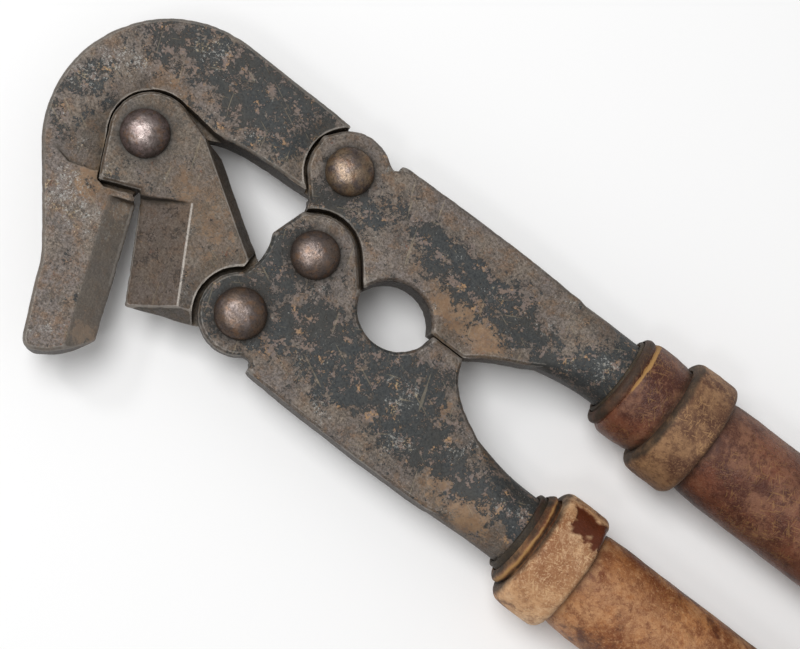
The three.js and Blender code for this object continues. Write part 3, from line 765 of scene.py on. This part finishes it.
def steel_head():
    """The four forgings."""
    shank_cut = place(SHANK_CUT_X, 0).x
    polished = (132, 126, 118)
    forging("fixed_jaw", forged_look("forged_jaw", 1, 0.45, polished), 1.0, FIXED_JAW_ZONES)
    forging("moving_jaw", forged_look("forged_blade", 2, 0.6, smoke=0.22), 2.0, MOVING_JAW_ZONES)
    upper = forged_look("forged_upper_lever", 3, 0.4)
    forging("upper_lever", upper, 3.0, UPPER_LEVER_ZONES, shank_cut)
    lower = forged_look("forged_lower_lever", 4, 0.5)
    forging("lower_lever", lower, 4.0, LOWER_LEVER_ZONES, shank_cut)


# ---- rivets ----------------------------------------------------------------------------


def rivet_outline(radius, half):
    """(height, radius) up a whole rivet, from one crown to the other."""
    seat = half - RIVET_DOME
    outline = [(seat, RIVET_SHANK_R), (seat, radius - 0.5 * MM), (seat + RIVET_RIM, radius)]
    for k in range(1, RIVET_STEPS + 1):
        t = k / RIVET_STEPS
        rise = math.sin(t * math.pi / 2) ** RIVET_RISE
        out = radius * math.cos(t * math.pi / 2) ** RIVET_ROUND if k < RIVET_STEPS else 0.0
        outline.append((seat + RIVET_RIM + (RIVET_DOME - RIVET_RIM) * rise, out))
    return [(-height, out) for height, out in reversed(outline)] + outline


def rivet_mesh(name, middle, outline):
    """Turns an outline of (height, radius) about an upright line through middle."""
    shape = bmesh.new()
    rows = []
    for height, out in outline:
        row = []
        for k in range(RIVET_AROUND):
            angle = 2 * math.pi * k / RIVET_AROUND
            row.append(shape.verts.new((middle.x + out * math.cos(angle), middle.y + out * math.sin(angle),
                                        middle.z + height)))
        rows.append(row)
    joined(shape, rows)
    bmesh.ops.remove_doubles(shape, verts=shape.verts, dist=0.002 * MM)
    bmesh.ops.recalc_face_normals(shape, faces=shape.faces)
    mesh = bpy.data.meshes.new(name)
    shape.to_mesh(mesh)
    shape.free()
    return mesh


def joined(shape, rows):
    """Faces between each closed row of points and the next."""
    for lower, upper in zip(rows, rows[1:]):
        count = len(lower)
        for k in range(count):
            after = (k + 1) % count
            shape.faces.new((lower[k], lower[after], upper[after], upper[k]))


def rivet(node, body, crown_highlight, seed, tone):
    """One rivet: two peened heads on a shank."""
    low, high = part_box(node)
    middle = (low + high) / 2
    half = (high.z - low.z) / 2
    seat = half - RIVET_DOME
    mesh = rivet_mesh(node + "_heads", middle, rivet_outline((high.x - low.x) / 2, half))
    points = points_of(mesh)
    normals = normals_of(mesh)
    height = np.abs(points[:, 2] - middle.z)
    head = height > seat + 0.1 * MM
    hammered = 0.24 * (0.5 + 0.5 * field(points, 280, 2, seed))
    set_points(mesh, points - normals * (hammered * head * MM)[:, None])
    set_attribute(mesh, "crown", (height - seat) / RIVET_DOME)
    set_attribute(mesh, "foot", 1 - (height - seat) / (0.9 * MM))
    material = rivet_look("rivet_steel_" + node, seed, crown_highlight, tone)
    new_object(node + "_heads", mesh, material, body, "rivet_steel", node)


# ---- grips -----------------------------------------------------------------------------


def profile(front, radius, steps):
    """Places along X and radii, from steps of (behind the front, below the radius) in mm."""
    return [(front - behind * MM, radius - below * MM) for behind, below in steps]


class Layer:
    """A leather layer: its outline turned round the handle, dented and rippled a little."""

    def __init__(self, name, node, outline, inner, dent, seed, ease=0.8 * MM, step=1.2 * MM):
        self.name, self.node = name, node
        middle = centre(node)
        front, back, radius = span(node)
        self.mesh = ring_mesh(name, middle, divided(corner_points(outline, ease), step))
        points = points_of(self.mesh)
        outward = points[:, 1:] - np.array([middle.y, middle.z])
        self.out = np.hypot(outward[:, 0], outward[:, 1])
        self.side = outward[:, 0] / np.maximum(self.out, 1e-6)
        self.angle = np.arctan2(outward[:, 1], outward[:, 0])
        self.from_front = (front - points[:, 0]) / MM
        self.from_back = (points[:, 0] - back) / MM
        self.skin = np.clip((self.out - inner) / (radius - inner), 0, 1)
        dents = 0.5 + 0.5 * field(points, 38, 2, seed)
        ripple = 0.5 + 0.5 * field(points, 300, 2, seed + 4)
        self.press((dent * dents + 0.16 * ripple) * self.skin)

    def press(self, depth):
        """Pushes the surface in by a depth in millimetres."""
        set_points(self.mesh, points_of(self.mesh) - normals_of(self.mesh) * (depth * MM)[:, None])

    def swell(self, height):
        """Swells the side that faces +Y."""
        self.press(-height * np.clip(self.side, 0, 1) ** 2 * self.skin)

    def mark(self, name, values):
        set_attribute(self.mesh, name, values)

    def noise(self, scale, seed):
        return field(points_of(self.mesh), scale, 3, seed)

    def done(self, material, body, slot):
        new_object(self.name, self.mesh, material, body, slot, self.node)


def grip(side):
    """The leather layers, stitches, end washer, nut and tang of one handle."""
    seed = 20.0 if side == "lower" else 10.0
    grip_lining(side, seed)
    grip_sleeve(side, seed)
    for where in ("guard", "butt"):
        grip_collar(side, where, seed)
    seam(side)
    steel_end(side, seed)


def grip_lining(side, seed):
    """The dark inner layer, which shows at the mouth of the grip."""
    node = side + "_grip_lining"
    front, back, radius = span(node)
    hole = radius - LINING_DEPTH
    outline = [(front, hole), (front, radius), (back, radius), (back, hole)]
    layer = Layer(side + "_lining", node, outline, hole, 0.3, seed + 1, step=2.4 * MM)
    # The whole lining is darkened a little.
    layer.mark("soil_and_shade", np.full(len(layer.out), 0.5))
    leather = leather_look(side + "_lining_leather", seed + 1, LINING_DYES, 0.6)
    layer.done(leather, side + "_lever", "lining_leather")


def grip_sleeve(side, seed):
    """The outer layer: a rolled lip, a worn crease, the band up to the collar, then the grip."""
    golden = side == "lower"
    node = side + "_grip_sleeve"
    front, back, radius = span(node)
    hole = span(side + "_grip_lining")[2] + SLEEVE_GAP
    collar_front, collar_back, _ = span(side + "_guard_collar")
    gap = (front - collar_front) / MM
    width = (collar_front - collar_back) / MM
    length = (front - back) / MM
    if golden:
        steps = [(0, 2.3), (0.7, 1.2), (1.8, 0.7), (2.9, 1.0), (gap, 1.3)]
    else:
        steps = [(0, 2.5), (0.4, 1.3), (1.5, 0.55), (2.7, 0.8), (3.4, 1.7), (3.9, 0.9), (4.9, 0.1), (7, 0),
                 (gap - 6, 0), (gap - 2, 0.4), (gap, 1.0)]
    steps += [(gap + width, 1.0), (gap + width + 3, 0.35), (gap + width + 10, 0), (length, 0)]
    outline = [(front, hole)] + profile(front, radius, steps) + [(back, hole)]
    layer = Layer(side + "_sleeve", node, outline, hole, 0.5, seed + 2)
    layer.swell(1.4)
    along = layer.from_front

    crease = (2.1 if golden else 3.7) + 0.45 * layer.noise(170, seed + 8)
    facing = 1.0 if golden else np.clip(0.9 - 0.7 * layer.side, 0, 1)
    facing = facing * (0.85 + 0.8 * layer.noise(120, seed))
    bead = np.exp(-(((along - crease) / 0.75) ** 2)) * np.clip(2 * layer.skin, 0, 1)
    layer.press(-0.35 * bead)
    layer.mark("rim", 0.95 * bead * facing)

    lip = 0.85 * np.exp(-((along / (3.4 if golden else 3.0)) ** 6))
    lip += 0.75 * np.exp(-np.abs(along - gap + 0.4))
    behind = 0.6 * np.exp(-np.abs(along - gap - width) / 1.2)
    # Soil and painted shade: darker at the mouth, behind the collar, and along both side edges.
    patches = np.clip(layer.noise(60, seed + 3) + 0.5, 0, 1)
    edges = 0.5 * np.clip((np.abs(layer.side) - 0.72) / 0.28, 0, 1) * patches
    layer.mark("soil_and_shade", lip * (1 - 0.9 * bead) + behind + edges)

    # Painted sheen and dust: the lower grip is paler along its top and underside, the upper grip along its
    # -Y side.
    if golden:
        worn = 0.75 * np.exp(-(((layer.side + 0.05) / 0.42) ** 2))
    else:
        worn = 0.9 * np.clip(-layer.side, 0, 1) ** 1.5
    layer.mark("dust_and_sheen", worn * (along > gap + width))
    leather = leather_look(side + "_sleeve_leather", seed + 2, SLEEVE_DYES[side], 0.42)
    layer.done(leather, side + "_lever", "grip_leather")


def grip_collar(side, where, seed):
    """A thick rubbed ring over the sleeve.  The lower guard collar's skin is torn at one place."""
    golden = side == "lower"
    node = f"{side}_{where}_collar"
    front, back, radius = span(node)
    sleeve_r = span(side + "_grip_sleeve")[2]
    hole = sleeve_r - COLLAR_DEPTH
    width = (front - back) / MM
    steps = [(0, 2.0), (0.7, 0.9), (2.0, 0.15), (4, -0.05), (width / 2, -0.15), (width - 1.8, 0),
             (width - 0.6, 0.5), (width, 1.5)]
    outline = [(front, hole)] + profile(front, radius, steps) + [(back, hole)]
    layer = Layer(node + "_ring", node, outline, hole, 0.5, seed + 5, ease=0.5 * MM, step=0.8 * MM)
    layer.swell(1.3)
    # The collar's front shoulder and back edge are darker: soil and painted shade.
    shoulder_reach = (1.3 if golden else 2.4) + 1.2 * layer.noise(90, seed + 6)
    shoulder = 0.95 * np.clip((shoulder_reach - layer.from_front) / 1.2, 0, 1)
    layer.mark("soil_and_shade", shoulder + 0.6 * np.exp(-np.maximum(layer.from_back, 0) / 0.8))
    layer.mark("rim", 0.45 * np.exp(-((layer.from_front - 4) ** 2)))
    if golden and where == "guard":
        sector = np.exp(-(((layer.angle - 2.3) / 0.36) ** 4))
        sector *= np.clip((layer.from_front - 2.5) / 3.0, 0, 1)
        torn = np.clip((sector + 0.6 * layer.noise(230, 31.0) - 0.5) / 0.1, 0, 1)
        layer.press(0.45 * torn * (layer.out > sleeve_r + 1 * MM))
        layer.mark("torn", torn)
    dye_seed = seed + (3 if where == "guard" else 4)
    leather = leather_look(node + "_leather", dye_seed, COLLAR_DYES[side], 0.68, 0.5)
    layer.done(leather, side + "_lever", "collar_leather")


def seam(side):
    """Cross stitches that close the sleeve along its underside, between the collars."""
    middle = centre(side + "_grip_sleeve")
    radius = span(side + "_grip_sleeve")[2] + STITCH_LIFT
    start = span(side + "_guard_collar")[1]
    end = span(side + "_butt_collar")[0]
    inward = 1 if side == "upper" else -1
    angle = math.radians(-90 + 28 * inward)  # straight down is -90, and the seam is a little inward
    width = math.radians(9)
    outward = Vector((0, math.cos(angle), math.sin(angle)))
    shape = bmesh.new()
    for k in range(int((start - end - 6 * MM) / STITCH_PITCH)):
        along = start - 4 * MM - k * STITCH_PITCH
        ends = []
        for sign in (-1, 1):
            turn = angle + sign * width
            ends.append(Vector((along + sign * 1.1 * MM, middle.y + radius * math.cos(turn),
                                middle.z + radius * math.sin(turn))))
        first, last = ends
        thread(shape, [
            first,
            first * 0.75 + last * 0.25 + outward * 0.5 * MM,
            (first + last) / 2 + outward * 0.6 * MM,
            first * 0.25 + last * 0.75 + outward * 0.5 * MM,
            last,
        ], outward)
    name = side + "_seam_stitches"
    mesh = bpy.data.meshes.new(name)
    shape.to_mesh(mesh)
    shape.free()
    new_object(name, mesh, thread_look(side + "_thread"), side + "_lever", "grip_leather")


def thread(shape, path, outward):
    """A short round thread along a path, closed at both ends."""
    sides = 8
    rows = []
    for k, point in enumerate(path):
        ahead = path[min(k + 1, len(path) - 1)] - path[max(k - 1, 0)]
        across = ahead.normalized().cross(outward).normalized()
        lift = across.cross(ahead.normalized())
        size = STITCH_R * (0.55 if k in (0, len(path) - 1) else 1.0)
        row = []
        for j in range(sides):
            turn = 2 * math.pi * j / sides
            row.append(shape.verts.new(point + (across * math.cos(turn) + lift * math.sin(turn)) * size))
        rows.append(row)
    joined(shape, rows)
    shape.faces.new(rows[0][::-1])
    shape.faces.new(rows[-1])


def steel_end(side, seed):
    """Washer and nut on the tang, and the tang itself."""
    body = side + "_lever"
    material = plain_steel_look(side + "_end_steel", seed)
    for node, ease in ((side + "_butt_washer", 0.5 * MM), (side + "_tang_nut", 0.9 * MM)):
        front, back, radius = span(node)
        corners = [(front, TANG_BORE_R), (front, radius), (back, radius), (back, TANG_BORE_R)]
        mesh = ring_mesh(node + "_ring", centre(node), divided(corner_points(corners, ease), 1.0 * MM))
        points = points_of(mesh)
        out = np.hypot(points[:, 1] - centre(node).y, points[:, 2] - centre(node).z)
        set_attribute(mesh, "rim", (out - radius + 1.2 * MM) / (1.2 * MM))
        new_object(node + "_ring", mesh, material, body, "plain_steel", node)
    start = place(TANG_START_X, 0).x
    low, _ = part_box(side + "_lever")
    corners = [(start, TANG_EYE_R), (start, TANG_R), (low.x, TANG_R), (low.x, TANG_EYE_R)]
    outline = divided(corner_points(corners, 0.8 * MM), 6 * MM)
    mesh = ring_mesh(side + "_tang_rod", centre(side + "_grip_sleeve"), outline, ROD_AROUND)
    set_attribute(mesh, "rim", np.zeros(len(mesh.vertices)))
    new_object(side + "_tang_rod", mesh, material, body, "plain_steel")


# ---- stage -----------------------------------------------------------------------------


def pale_floor():
    mesh = bpy.data.meshes.new("floor")
    reach = FLOOR_REACH
    corners = [(-reach, -reach, 0), (reach, -reach, 0), (reach, reach, 0), (-reach, reach, 0)]
    mesh.from_pydata(corners, [], [(0, 1, 2, 3)])
    floor = bpy.data.objects.new("floor", mesh)
    bpy.context.scene.collection.objects.link(floor)
    paper = bpy.data.materials.new("white_paper")
    paper.use_nodes = True
    shader = paper.node_tree.nodes["Principled BSDF"]
    shader.inputs["Base Color"].default_value = (0.9, 0.9, 0.9, 1)
    shader.inputs["Roughness"].default_value = 0.9
    mesh.materials.append(paper)


def even_light():
    world = bpy.data.worlds.new("studio")
    world.use_nodes = True
    background = world.node_tree.nodes["Background"]
    background.inputs["Color"].default_value = (1, 1, 1, 1)
    background.inputs["Strength"].default_value = WORLD_LIGHT
    bpy.context.scene.world = world
    bpy.context.scene.view_settings.view_transform = "Standard"


def softbox(name, location, target, size, power):
    data = bpy.data.lights.new(name, "AREA")
    data.shape = "DISK"
    data.size = size
    data.energy = power
    light = bpy.data.objects.new(name, data)
    light.location = location
    light.rotation_mode = "QUATERNION"
    light.rotation_quaternion = (target - location).to_track_quat("-Z", "Y")
    bpy.context.scene.collection.objects.link(light)


def view_camera(target, upward):
    data = bpy.data.cameras.new("camera")
    data.lens = VIEW_LENS
    data.sensor_width = VIEW_SENSOR
    data.clip_start = 0.01
    camera = bpy.data.objects.new("camera", data)
    bpy.context.scene.collection.objects.link(camera)
    location = place(*VIEW_FROM)
    backward = (location - target).normalized()
    up = (upward - backward * upward.dot(backward)).normalized()
    right = up.cross(backward)
    turn = Matrix((right, up, backward)).transposed()
    camera.matrix_world = Matrix.Translation(location) @ turn.to_4x4()
    bpy.context.scene.camera = camera


def studio():
    """Pale floor, soft light that comes mostly from beyond the jaws, and the camera."""
    pale_floor()
    even_light()
    target = place(*VIEW_TARGET)
    upward = Vector((math.cos(VIEW_UP), math.sin(VIEW_UP), 0))
    leftward = Vector((-math.sin(VIEW_UP), math.cos(VIEW_UP), 0))
    high = Vector((0, 0, 1))
    softbox("key", target + upward * 0.28 + leftward * 0.38 + high * 1.4, target, 0.8, 13.5)
    softbox("lamp", target + upward * 0.6 + leftward * 0.8 + high, target, 0.22, 2.0)
    softbox("fill", target - upward * 0.4 + leftward * 0.45 + high * 1.2, target, 0.25, 1.4)
    view_camera(target, upward)


# ---- build -----------------------------------------------------------------------------

steel_head()
# The third value is how pale each crown is drawn: rubbed metal, and partly a painted highlight.
rivet("jaw_rivet", "fixed_jaw", 0.65, 1.0, (110, 95, 92))
rivet("arm_rivet", "upper_lever", 0.2, 2.0, (124, 105, 84))
rivet("lever_rivet", "upper_lever", 0.25, 3.0, (98, 84, 75))
rivet("tail_rivet", "lower_lever", 0.3, 4.0, (98, 82, 70))
core_wood = wood_look("handle_wood")
for handle in ("upper", "lower"):
    grip(handle)
    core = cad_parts[handle + "_grip_core"]
    core.data.materials.clear()
    core.data.materials.append(core_wood)
studio()
